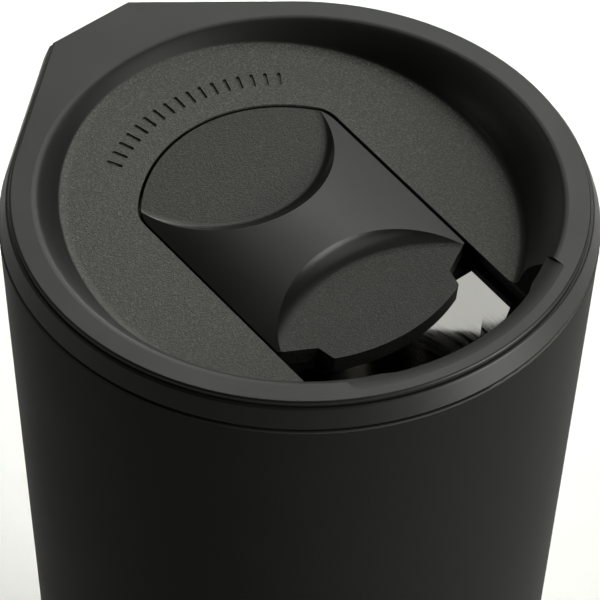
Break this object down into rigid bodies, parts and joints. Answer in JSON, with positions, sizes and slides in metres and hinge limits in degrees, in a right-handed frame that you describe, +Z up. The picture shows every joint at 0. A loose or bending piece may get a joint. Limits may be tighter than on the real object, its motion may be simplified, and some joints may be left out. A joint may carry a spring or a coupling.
{
  "type": "insulated travel mug",
  "caption": "Tapered vacuum-insulated travel mug with a push-in lid, a thumb tab to pull it by, and a sliding closure over the drinking mouth.",
  "frame": {"origin": "centre of the silicone pad's underside, on the cup axis, where the mug stands", "axes": "+Z up along the cup axis to the lid, -Y towards the drinking side, +Y towards the thumb tab, +X to the right when the drinking side faces away from the viewer"},
  "size_m": [0.089, 0.0951, 0.152],
  "materials": {
    "powder_coat": "fine matte powder coat",
    "polished_steel": "polished",
    "plain_steel": "satin",
    "copper_foil": "bright foil",
    "solder_glass": "gloss",
    "getter_metal": "matte",
    "adhesive_film": "matte",
    "black_silicone": "matte",
    "lid_plastic": "fine moulded grain",
    "slider_plastic": "satin with fine grained finger pads"
  },
  "bodies": {
    "cup": {"outer_shell": "powder_coat", "inner_liner": "polished_steel", "reflective_foil": "copper_foil", "vacuum_base_plate": "plain_steel", "sealing_bead": "solder_glass", "getter": "getter_metal", "getter_clip": "plain_steel", "base_cover": "plain_steel", "pad_adhesive": "adhesive_film", "base_pad": "black_silicone"},
    "lid_seal": {"lid_gasket": "black_silicone"},
    "lid": {"lid_top": "lid_plastic", "lid_base": "lid_plastic"},
    "slider": {"slider_top": "slider_plastic", "slider_carrier": "slider_plastic", "slider_seal": "black_silicone"}
  },
  "joints": [
    {"name": "lid_lift", "type": "slide", "parent": "cup", "child": "lid_seal", "axis": [0, 0, 1], "range_m": [0, 0.05]},
    {"name": "lid_turn", "type": "hinge", "parent": "lid_seal", "child": "lid", "pos_m": [0, 0, 0.142], "axis": [0, 0, 1], "continuous": true},
    {"name": "slider_slide", "type": "slide", "parent": "lid", "child": "slider", "axis": [0, -0.9929, -0.1191], "range_m": [0, 0.0124]}
  ]
}
